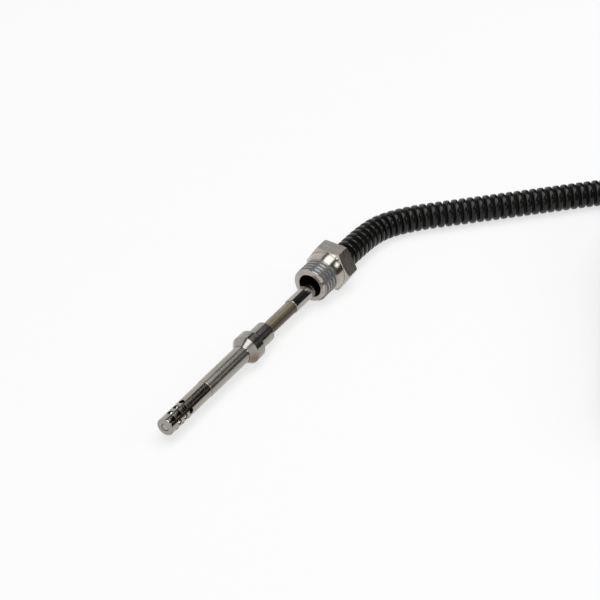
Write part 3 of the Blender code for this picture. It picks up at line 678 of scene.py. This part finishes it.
class SENSOR_OT_inner_tubes(bpy.types.Operator):
    """Cap over the sensing chip and the sheathed cable behind it"""

    bl_idname = "sensor.inner_tubes"
    bl_label = "Cap and sheath"

    def execute(self, context):
        tip = PROBE_TIP
        outer = 1.6 * MM
        front = tip + 0.75 * MM
        dome = [(front + 2.1 * MM * (1.0 - cos(t)), 1.1 * MM + 0.5 * MM * sin(t))
                for t in np.linspace(0.0, pi / 2, 9)]
        weld = tip + 8.4 * MM
        ring = [(weld + 0.6 * MM * sin(t), outer + 0.22 * MM * cos(t))
                for t in np.linspace(-pi / 2, pi / 2, 9)]
        profile = [
            (tip + 0.05 * MM, 0.0), (tip + 0.05 * MM, 1.02 * MM), (tip + 0.13 * MM, 1.1 * MM),
            *dome, *ring, (tip + 9.0 * MM, outer),
            (tip + 9.0 * MM, 1.35 * MM), (front + 2.4 * MM, 1.35 * MM), (front + 0.5 * MM, 0.7 * MM),
            (front + 0.5 * MM, 0.0)]
        cap = turn_piece("element_tube", profile, sides=64)
        soften(cap, 0.0)
        finish_piece(cap, "sensor", "tinted_steel", FINISHES["cap_steel"], "element_cap")

        start = tip + 9.05 * MM
        swage = tip + 24.6 * MM
        full = 2.175 * MM
        rear = tip + 76.0 * MM
        profile = [
            (start, 1.3 * MM), (start, outer), (swage, outer), (swage + 0.5 * MM, outer + 0.08 * MM),
            (swage + 1.1 * MM, full - 0.08 * MM), (swage + 1.6 * MM, full), (rear, full),
            (rear, full - 0.35 * MM), (swage + 1.6 * MM, full - 0.35 * MM), (swage, 1.3 * MM)]
        sheath = turn_piece("cable_sheath", profile, sides=80)
        soften(sheath, 0.0)
        finish_piece(sheath, "sensor", "tinted_steel", FINISHES["tinted_steel"], "sheath_tube")
        return {"FINISHED"}


class SENSOR_OT_stem(bpy.types.Operator):
    """Plain tube between the shield and the collar"""

    bl_idname = "sensor.stem"
    bl_label = "Stem"

    def execute(self, context):
        sizes = context.scene.sensor_probe
        outer = sizes.stem_diameter / 2
        front = PROBE_TIP + sizes.shield_length + 0.05 * MM
        rear = PROBE_TIP + 46.3 * MM
        lip = 0.2 * MM
        turns = np.linspace(pi / 2, 0.0, 6)[1:]
        round_front = [(front + lip - lip * sin(t), outer - lip + lip * cos(t)) for t in turns]
        profile = [
            (front, outer - 0.5 * MM), (front, outer - lip), *round_front,
            (rear, outer), (rear, outer - 0.5 * MM)]
        stem = turn_piece("stem", profile)
        soften(stem, 0.0)
        finish_piece(stem, "sensor", "shield_steel", FINISHES["stem_steel"], "stem_tube")
        return {"FINISHED"}


class SENSOR_OT_collar(bpy.types.Operator):
    """Seal collar: cone, flange and sleeve with broken edges"""

    bl_idname = "sensor.collar"
    bl_label = "Seal collar"

    def execute(self, context):
        sizes = context.scene.sensor_probe
        tip = PROBE_TIP
        flange = sizes.flange_diameter / 2
        cone = 3.15 * MM
        front = tip + 41.6 * MM
        flange_front = front + (flange - cone) / tan(radians(37.0))
        flange_rear = tip + 47.7 * MM
        sleeve = 3.45 * MM
        rear = tip + 55.1 * MM
        bore = sizes.stem_diameter / 2 + 0.05 * MM
        sheath = 2.225 * MM
        profile = [
            (front - 0.3 * MM, bore), (front - 0.3 * MM, cone), (front, cone),
            (flange_front, flange), (flange_rear - 0.25 * MM, flange),
            (flange_rear, flange - 0.25 * MM), (flange_rear, sleeve), (rear - 0.35 * MM, sleeve),
            (rear, sleeve - 0.35 * MM), (rear, sheath), (tip + 46.35 * MM, sheath),
            (tip + 46.35 * MM, bore)]
        collar = turn_piece("collar", profile)
        soften(collar, sizes.edge, 2, 30.0)
        finish_piece(collar, "sensor", "collar_steel", FINISHES["collar_steel"], "seal_collar")
        return {"FINISHED"}


class SENSOR_OT_ferrule(bpy.types.Operator):
    """Bright tube that the nut hangs on"""

    bl_idname = "sensor.ferrule"
    bl_label = "Ferrule"

    def execute(self, context):
        sizes = context.scene.sensor_probe
        tip = PROBE_TIP
        outer = sizes.ferrule_diameter / 2
        front = tip + 69.7 * MM
        lip = 0.25 * MM
        bore = 2.225 * MM
        shoulder = tip + 76.05 * MM
        rear = ferrule_high.y
        flare = NUT_NOSE - 1.6 * MM
        turns = np.linspace(pi / 2, 0.0, 6)[1:]
        front_round = [(front + lip - lip * sin(t), outer - lip + lip * cos(t)) for t in turns]
        profile = [
            (front, bore), *front_round, (flare, outer), (flare + 0.5 * MM, outer + 0.05 * MM),
            (flare + 1.2 * MM, outer + 0.2 * MM), (rear, outer + 0.2 * MM), (rear, outer - 0.3 * MM),
            (shoulder, outer - 0.3 * MM), (shoulder, bore)]
        ferrule = turn_piece("ferrule", profile, sides=80)
        soften(ferrule, 0.0)
        finish_piece(
            ferrule, "sensor", "ferrule_steel", FINISHES["ferrule_steel"], "transition_ferrule")
        return {"FINISHED"}


class SENSOR_OT_nut(bpy.types.Operator):
    """Union nut: helical thread on the nose, cone skirt, hexagon and bore"""

    bl_idname = "sensor.nut"
    bl_label = "Union nut"

    def thread(self, sizes):
        """A threaded rod, closed at both ends, that covers the nose."""
        pitch = sizes.thread_pitch
        crest = sizes.thread_diameter / 2
        root = crest - 0.56 * pitch
        start = NUT_NOSE - 2 * pitch
        tooth = [(0.0, root), (0.10 * pitch, root), (0.44 * pitch, crest - 0.01 * MM),
                 (0.53 * pitch, crest), (0.62 * pitch, crest - 0.01 * MM), (0.96 * pitch, root),
                 (pitch, root)]
        points = [(radius, start + along, NUT_HEIGHT) for along, radius in tooth]
        rod = draw_line("nut_thread", points)
        turns = 9
        rod.data.transform(Matrix.Translation((0.0, 0.0, -NUT_HEIGHT)))
        apply_modifier(
            rod, "SCREW", axis="Y", angle=2 * pi, screw_offset=pitch, iterations=turns,
            steps=96, render_steps=96, use_merge_vertices=True, merge_threshold=0.002 * MM)
        rod.data.transform(Matrix.Translation((0.0, 0.0, NUT_HEIGHT)))
        pick(rod)
        bpy.ops.object.mode_set(mode="EDIT")
        bpy.ops.mesh.select_all(action="SELECT")
        bpy.ops.mesh.remove_doubles(threshold=0.002 * MM)
        for place, side in ((NUT_NOSE - 0.4 * MM, -1.0), (NUT_NOSE + 8.2 * MM, 1.0)):
            bpy.ops.mesh.select_all(action="SELECT")
            bpy.ops.mesh.bisect(
                plane_co=(0.0, place, NUT_HEIGHT), plane_no=(0.0, side, 0.0), clear_outer=True)
        bpy.ops.mesh.select_all(action="SELECT")
        bpy.ops.mesh.fill_holes(sides=0)
        bpy.ops.mesh.select_all(action="SELECT")
        bpy.ops.mesh.normals_make_consistent(inside=False)
        bpy.ops.object.mode_set(mode="OBJECT")
        return rod

    def execute(self, context):
        sizes = context.scene.sensor_nut
        nose, rear, height = NUT_NOSE, NUT_REAR, NUT_HEIGHT
        crest = sizes.thread_diameter / 2
        corner = sizes.across_flats / sqrt(3.0)
        past = corner + 0.3 * MM
        top = sizes.across_flats / 2 - 0.25 * MM
        skirt = nose + sizes.thread_length
        skirt_rear = skirt + sizes.skirt_length
        hex_front = skirt_rear + (past - top) / tan(radians(60.0))
        chamfer = 0.35 * MM

        deselect()
        bpy.ops.mesh.primitive_cylinder_add(
            vertices=6, radius=corner, depth=30 * MM,
            location=(0.0, (skirt + rear) / 2, height), rotation=(pi / 2, radians(30.0), 0.0))
        body = bpy.context.object
        body.name = "nut"
        settle(body)
        envelope = turn_piece(
            "nut_envelope",
            [(skirt_rear - 0.6 * MM, 0.0), (skirt_rear - 0.6 * MM, top - 0.8 * MM),
             (skirt_rear - 0.01 * MM, top - 0.02 * MM), (hex_front, past), (rear - chamfer, past),
             (rear, past - 2 * chamfer), (rear, 0.0)],
            height, sides=192)
        cut_with(body, envelope, "INTERSECT")
        soften(body, sizes.edge, 2, 20.0)

        bowed = []
        for share in np.linspace(0.0, 1.0, 15):
            bow = 0.6 * MM * share * (1.0 - share)
            bowed.append((
                skirt + share * sizes.skirt_length,
                crest + 0.04 * MM + share * (top - crest - 0.04 * MM) + bow))
        cone = turn_piece(
            "nut_skirt",
            [(skirt - 0.5 * MM, 0.0), (skirt - 0.5 * MM, crest - 0.55 * MM), *bowed,
             (skirt_rear + 0.9 * MM, top - 0.1 * MM), (skirt_rear + 0.9 * MM, 0.0)],
            height, sides=192)
        cut_with(body, cone, "UNION")

        rod = self.thread(sizes)
        turns = np.linspace(pi / 2, 0.0, 7)
        edge = 0.7 * MM
        over = crest + 0.03 * MM
        nose_round = [(nose + edge - edge * sin(t), over - edge + edge * cos(t)) for t in turns]
        nose_shape = turn_piece(
            "nut_nose_shape",
            [(nose, 0.0), *nose_round, (skirt + 0.3 * MM, over), (skirt + 0.3 * MM, 0.0)],
            height, sides=96)
        cut_with(rod, nose_shape, "INTERSECT")
        cut_with(body, rod, "UNION")

        bore = sizes.bore / 2
        lip = 0.12 * MM
        drill = turn_piece(
            "nut_drill",
            [(nose - MM, 0.0), (nose - MM, bore + lip + MM), (nose + lip, bore),
             (rear - lip, bore), (rear + MM, bore + lip + MM), (rear + MM, 0.0)],
            height, sides=96)
        cut_with(body, drill)
        pick(body)
        bpy.ops.object.shade_smooth_by_angle(angle=radians(28.0))
        apply_modifier(body, "WEIGHTED_NORMAL", keep_sharp=True, weight=80)
        finish_piece(body, "nut", "nut_steel", FINISHES["nut_steel"], "union_nut")
        return {"FINISHED"}


def ease(share):
    """0 to 1 with a soft start and end."""
    share = min(max(share, 0.0), 1.0)
    return share * share * (3.0 - 2.0 * share)


def smooth_line(knots, step):
    """Points a step apart on a smooth curve through the knots."""
    ends = [2 * knots[0] - knots[1], *knots, 2 * knots[-1] - knots[-2]]
    fine = []
    for before, start, stop, after in zip(ends, ends[1:], ends[2:], ends[3:]):
        for t in np.linspace(0.0, 1.0, 24, endpoint=False):
            slope = (stop - before) * t
            bend = (2 * before - 5 * start + 4 * stop - after) * t**2
            twist = (3 * start - before - 3 * stop + after) * t**3
            fine.append((2 * start + slope + bend + twist) / 2)
    fine.append(knots[-1])
    fine = np.array(fine)
    along = np.concatenate([[0.0], np.cumsum(np.linalg.norm(np.diff(fine, axis=0), axis=1))])
    stops = np.linspace(0.0, along[-1], round(along[-1] / step) + 1)
    return np.column_stack([np.interp(stops, along, fine[:, k]) for k in range(3)])


def conduit_route(step=1.0):
    """The conduit's whole centreline, in metres."""
    start = np.array(EXIT) / MM
    knots = [np.array((x, start[1] + y, z)) for x, y, z in RUN]
    upper = np.array(FOLD_UPPER)
    along, across = np.array(HANK_ALONG), np.array(HANK_ACROSS)
    lower = upper + along * FOLD_SPAN
    flat = []
    for turned in (90.0, 76.0, 62.0, 48.0, 36.0):
        flat.append(upper + FOLD_RADIUS * np.array((cos(radians(turned)), sin(radians(turned)))))
    for lap in range(2):
        for share in np.linspace(0.0, 1.0, 7):
            flat.append(upper + across * FOLD_RADIUS + along * FOLD_SPAN * share)
        for turned in np.linspace(0.0, pi, 13)[1:-1]:
            flat.append(lower + FOLD_RADIUS * (across * cos(turned) + along * sin(turned)))
        for share in np.linspace(1.0, 0.0, 7):
            flat.append(upper - across * FOLD_RADIUS + along * FOLD_SPAN * share)
        for turned in np.linspace(0.0, pi, 13)[1:-1]:
            flat.append(upper - FOLD_RADIUS * (across * cos(turned) + along * sin(turned)))
    flat = np.array(flat)
    travelled = np.concatenate([[0.0], np.cumsum(np.linalg.norm(np.diff(flat, axis=0), axis=1))])
    lap = 2 * FOLD_SPAN + 2 * pi * FOLD_RADIUS
    first = FOLD_RADIUS * (pi / 2 - HANK_TURN)
    climb = first + FOLD_SPAN + pi * FOLD_RADIUS + 18.0
    for (x, y), gone in zip(flat, travelled):
        height = HANK_LEVELS[0]
        for number, (low, high) in enumerate(zip(HANK_LEVELS, HANK_LEVELS[1:])):
            height += (high - low) * ease((gone - climb - number * lap) / 74.0)
        left = travelled[-1] - gone
        height += (PLUG_HEIGHT - HANK_LEVELS[-1]) * ease(1.0 - left / 44.0)
        knots.append(np.array((x, y, height)))
    end = upper + across * FOLD_RADIUS
    for past in (-0.6, PLUG_PAST_FOLD):
        knots.append(np.array((*(end + along * past), PLUG_HEIGHT)))
    return smooth_line(knots, step) * MM


def line_length(points):
    """Length of a line of points."""
    return float(np.linalg.norm(np.diff(points, axis=0), axis=1).sum())


class SENSOR_OT_conduit(bpy.types.Operator):
    """Corrugated conduit: one ridge, repeated and laid along the route"""

    bl_idname = "sensor.conduit"
    bl_label = "Conduit"

    def execute(self, context):
        sizes = context.scene.sensor_conduit
        route = conduit_route()
        length = line_length(route)
        count = round(length / sizes.pitch)
        pitch = length / count
        outer = sizes.diameter / 2
        groove = outer - sizes.groove
        half = [(0.0, sizes.groove), (0.13, sizes.groove), (0.19, 0.28 * MM),
                (0.235, 0.11 * MM), (0.31, 0.035 * MM), (0.40, 0.008 * MM)]
        shape = [(share, outer - depth) for share, depth in half]
        shape += [(0.5, outer)] + [(1.0 - share, outer - depth) for share, depth in reversed(half)]
        conduit = turn_piece(
            "conduit", [(share * pitch, radius) for share, radius in shape], 0.0, 26, closed=False)
        # crest runs from 0 in a groove to 1 on a ridge; the finish makes the grooves dull and darkens them
        # with painted shade.
        crest = conduit.data.attributes.new("crest", "FLOAT", "POINT")
        for place, spot in zip(conduit.data.vertices, crest.data):
            away = Vector((place.co.x, place.co.z)).length
            spot.value = ease((away - groove - 0.3 * sizes.groove) / (0.55 * sizes.groove))
        conduit.data.transform(Matrix.Rotation(-pi / 2, 4, "Z"))
        apply_modifier(
            conduit, "ARRAY", count=count, use_relative_offset=False, use_constant_offset=True,
            constant_offset_displace=(pitch, 0.0, 0.0), use_merge_vertices=True,
            merge_threshold=0.01 * MM)

        data = bpy.data.curves.new("conduit_line", "CURVE")
        data.dimensions = "3D"
        data.twist_mode = "MINIMUM"
        spline = data.splines.new("POLY")
        spline.points.add(len(route) - 1)
        for point, place in zip(spline.points, route):
            point.co = (*place, 1.0)
        line = bpy.data.objects.new("conduit_line", data)
        bpy.context.scene.collection.objects.link(line)
        apply_modifier(conduit, "CURVE", object=line, deform_axis="POS_X")
        bpy.data.objects.remove(line)

        pick(conduit)
        bpy.ops.object.mode_set(mode="EDIT")
        bpy.ops.mesh.select_all(action="DESELECT")
        bpy.ops.mesh.select_mode(type="EDGE")
        bpy.ops.mesh.select_non_manifold()
        bpy.ops.mesh.edge_face_add()
        bpy.ops.mesh.select_all(action="SELECT")
        bpy.ops.mesh.normals_make_consistent(inside=False)
        bpy.ops.mesh.select_mode(type="VERT")
        bpy.ops.object.mode_set(mode="OBJECT")
        pick(conduit)
        bpy.ops.object.shade_smooth_by_angle(angle=radians(70.0))
        finish_piece(
            conduit, "sensor", "conduit_black", FINISHES["conduit_black"],
            "conduit_run", "conduit_hank", "conduit_tail")
        return {"FINISHED"}


def tidy_copy(node, name, edge, segments=2):
    """A CAD node's shape as a merged copy with broken edges."""
    source = frame["nodes"][node]
    piece = bpy.data.objects.new(name, source.data.copy())
    bpy.context.scene.collection.objects.link(piece)
    pick(piece)
    bpy.ops.object.mode_set(mode="EDIT")
    bpy.ops.mesh.select_all(action="SELECT")
    bpy.ops.mesh.remove_doubles(threshold=0.002 * MM)
    bpy.ops.mesh.dissolve_limited(angle_limit=radians(0.5))
    bpy.ops.object.mode_set(mode="OBJECT")
    soften(piece, edge, segments, 35.0, 40.0)
    return piece


class SENSOR_OT_plug(bpy.types.Operator):
    """Two-way plug with its backshell, seals and lock"""

    bl_idname = "sensor.plug"
    bl_label = "Plug"

    def execute(self, context):
        rows = {row["node"]: row["material_slot"] for row in frame["record"]["subparts"]}
        for node, name, edge in (
                ("plug_backshell", "backshell", 0.15 * MM), ("plug_housing", "housing", 0.12 * MM),
                ("nose_seal", "face_seal", 0.0), ("contact_lock", "lock_plate", 0.12 * MM),
                ("hank_tie", "conduit_tie", 0.12 * MM)):
            piece = tidy_copy(node, name, edge)
            finish_piece(piece, "sensor", rows[node], FINISHES[rows[node]], node)
        return {"FINISHED"}


def area_light(name, place, aim, size, power, colour=(1.0, 1.0, 1.0)):
    """A soft rectangular lamp at a place, aimed at a point."""
    data = bpy.data.lights.new(name, "AREA")
    data.shape = "RECTANGLE"
    data.size, data.size_y = size
    data.energy = power
    data.color = colour
    lamp = bpy.data.objects.new(name, data)
    bpy.context.scene.collection.objects.link(lamp)
    lamp.location = place
    lamp.rotation_euler = (Vector(aim) - Vector(place)).to_track_quat("-Z", "Y").to_euler()
    return lamp


def dark_wall(name, turned, height, distance, tone):
    """A curved dark card that only reflections see; its turn runs from +Y to +X, in degrees."""
    low, high = (radians(value) for value in turned)
    arc = [Vector((sin(a), cos(a), 0.0)) * distance for a in np.linspace(low, high, 17)]
    wall = draw_line(name, [point + Vector((0.0, 0.0, -0.02)) for point in arc])
    pick(wall)
    bpy.ops.object.mode_set(mode="EDIT")
    bpy.ops.mesh.select_all(action="SELECT")
    bpy.ops.mesh.extrude_region_move(
        TRANSFORM_OT_translate={"value": (0.0, 0.0, height + 0.02)})
    bpy.ops.object.mode_set(mode="OBJECT")
    return dark_card(wall, tone)


def dark_roof(name, low, high, height, tone):
    """A flat dark card overhead that only reflections see."""
    deselect()
    bpy.ops.mesh.primitive_plane_add(
        size=1.0, location=((low[0] + high[0]) / 2, (low[1] + high[1]) / 2, height))
    roof = bpy.context.object
    roof.name = name
    roof.scale = (high[0] - low[0], high[1] - low[1], 1.0)
    settle(roof)
    return dark_card(roof, tone)


def dark_card(card, tone):
    """Give the card its tone and hide it from all but reflections."""
    made = Recipe(card.name)
    mottle = made.spread(made.noise(made.place(), 3.0), 0.0, 1.0)
    made.set(
        Base_Color=made.blend(mottle, darker(tone, 0.9), tone), Roughness=1.0,
        Specular_IOR_Level=0.0)
    card.data.materials.append(made.material)
    card.visible_camera = False
    card.visible_diffuse = False
    card.visible_shadow = False
    return card


class SENSOR_OT_stage(bpy.types.Operator):
    """Pale table, white surroundings, soft lamps, cards and the camera"""

    bl_idname = "sensor.stage"
    bl_label = "Stage and lights"

    def execute(self, context):
        settings = context.scene.sensor_stage
        deselect()
        bpy.ops.mesh.primitive_circle_add(vertices=96, radius=3.0, fill_type="NGON")
        table = bpy.context.object
        table.name = "table"
        made = Recipe("table_top")
        grain = made.noise(made.place(), 40.0, 2.0)
        colour = tuple(settings.table_colour)
        made.set(
            Base_Color=made.blend(made.spread(grain, 0.0, 1.0), darker(colour, 0.995), colour),
            Roughness=0.9, Specular_IOR_Level=0.0)
        ray = made.add("ShaderNodeLightPath").outputs
        seen = made.add(
            "ShaderNodeMath", {0: ray["Is Camera Ray"], 1: ray["Is Glossy Ray"]}, operation="ADD")
        seen = made.add(
            "ShaderNodeMath", {0: seen.outputs[0], 1: ray["Is Transmission Ray"]},
            operation="ADD", use_clamp=True)
        clear = made.add("ShaderNodeBsdfTransparent")
        mix = made.add("ShaderNodeMixShader", {
            0: made.times(seen.outputs[0], settings.table_white),
            1: made.shader.outputs["BSDF"], 2: clear.outputs["BSDF"]})
        made.links.new(mix.outputs[0], made.nodes["Material Output"].inputs["Surface"])
        table.data.materials.append(made.material)

        shade = (0.045, 0.042, 0.038)
        dark_wall("dark_wall", (-27.0, 80.0), 1.8, 1.5, shade)
        dark_wall("grey_wall", (80.0, 112.0), 1.8, 1.5, (0.22, 0.21, 0.20))
        dark_roof("dark_roof", (-0.70, -1.0), (1.5, 1.45), 1.25, shade)
        area_light("key", (0.11, -0.01, 1.05), (0.11, -0.01, 0.0), (0.69, 1.53), settings.key_power)
        area_light("side", (0.86, 0.46, 0.68), (0.0, 0.0, 0.0), (0.42, 0.36), settings.fill_power)

        world = bpy.data.worlds.new("surroundings")
        context.scene.world = world
        world.use_nodes = True
        nodes, links = world.node_tree.nodes, world.node_tree.links
        light = nodes["Background"]
        light.inputs["Color"].default_value = (1.0, 1.0, 1.0, 1.0)
        light.inputs["Strength"].default_value = 0.28
        white = nodes.new("ShaderNodeBackground")
        white.inputs["Strength"].default_value = 1.0
        white.inputs["Color"].default_value = (1.0, 1.0, 1.0, 1.0)
        ray = nodes.new("ShaderNodeLightPath")
        seen = nodes.new("ShaderNodeMath")
        seen.operation = "ADD"
        links.new(ray.outputs["Is Camera Ray"], seen.inputs[0])
        links.new(ray.outputs["Is Glossy Ray"], seen.inputs[1])
        also = nodes.new("ShaderNodeMath")
        also.operation = "ADD"
        also.use_clamp = True
        links.new(seen.outputs[0], also.inputs[0])
        links.new(ray.outputs["Is Transmission Ray"], also.inputs[1])
        mix = nodes.new("ShaderNodeMixShader")
        links.new(also.outputs[0], mix.inputs[0])
        links.new(light.outputs[0], mix.inputs[1])
        links.new(white.outputs[0], mix.inputs[2])
        links.new(mix.outputs[0], nodes["World Output"].inputs["Surface"])

        data = bpy.data.cameras.new("camera")
        data.sensor_width = 36.0
        data.lens = CAMERA_LENS
        data.clip_start, data.clip_end = 0.05, 20.0
        camera = bpy.data.objects.new("camera", data)
        bpy.context.scene.collection.objects.link(camera)
        back = CAMERA_RIGHT.cross(CAMERA_UP)
        turn = Matrix((CAMERA_RIGHT, CAMERA_UP, back)).transposed().to_4x4()
        camera.matrix_world = Matrix.Translation(CAMERA_PLACE) @ turn
        context.scene.camera = camera
        context.scene.view_settings.view_transform = "Standard"
        return {"FINISHED"}


OPERATORS = (
    SENSOR_OT_finishes, SENSOR_OT_stage, SENSOR_OT_plug, SENSOR_OT_conduit, SENSOR_OT_nut,
    SENSOR_OT_shield, SENSOR_OT_inner_tubes, SENSOR_OT_stem, SENSOR_OT_collar,
    SENSOR_OT_ferrule,
)


class SENSOR_PT_panel(bpy.types.Panel):
    """Lists the sensor's pieces and their settings"""

    bl_label = "Exhaust temperature sensor"
    bl_idname = "SENSOR_PT_panel"
    bl_space_type = "VIEW_3D"
    bl_region_type = "UI"
    bl_category = "Sensor"

    def draw(self, context):
        for group in SETTINGS:
            box = self.layout.box()
            settings = getattr(context.scene, group)
            for key in type(settings).__annotations__:
                box.prop(settings, key)
        for operator in OPERATORS:
            self.layout.operator(operator.bl_idname)


SETTINGS = {
    "sensor_probe": ProbeSettings,
    "sensor_nut": NutSettings,
    "sensor_conduit": ConduitSettings,
    "sensor_finishes": FinishSettings,
    "sensor_stage": StageSettings,
}


def register():
    for group in (*SETTINGS.values(), *OPERATORS, SENSOR_PT_panel):
        bpy.utils.register_class(group)
    for name, group in SETTINGS.items():
        setattr(bpy.types.Scene, name, bpy.props.PointerProperty(type=group))


def unregister():
    for name in SETTINGS:
        delattr(bpy.types.Scene, name)
    for group in (SENSOR_PT_panel, *reversed(OPERATORS), *reversed(SETTINGS.values())):
        bpy.utils.unregister_class(group)


def main():
    register()
    for operator in OPERATORS:
        name = operator.bl_idname.split(".")[1]
        getattr(bpy.ops.sensor, name)()
    deselect()


if __name__ == "__main__":
    main()
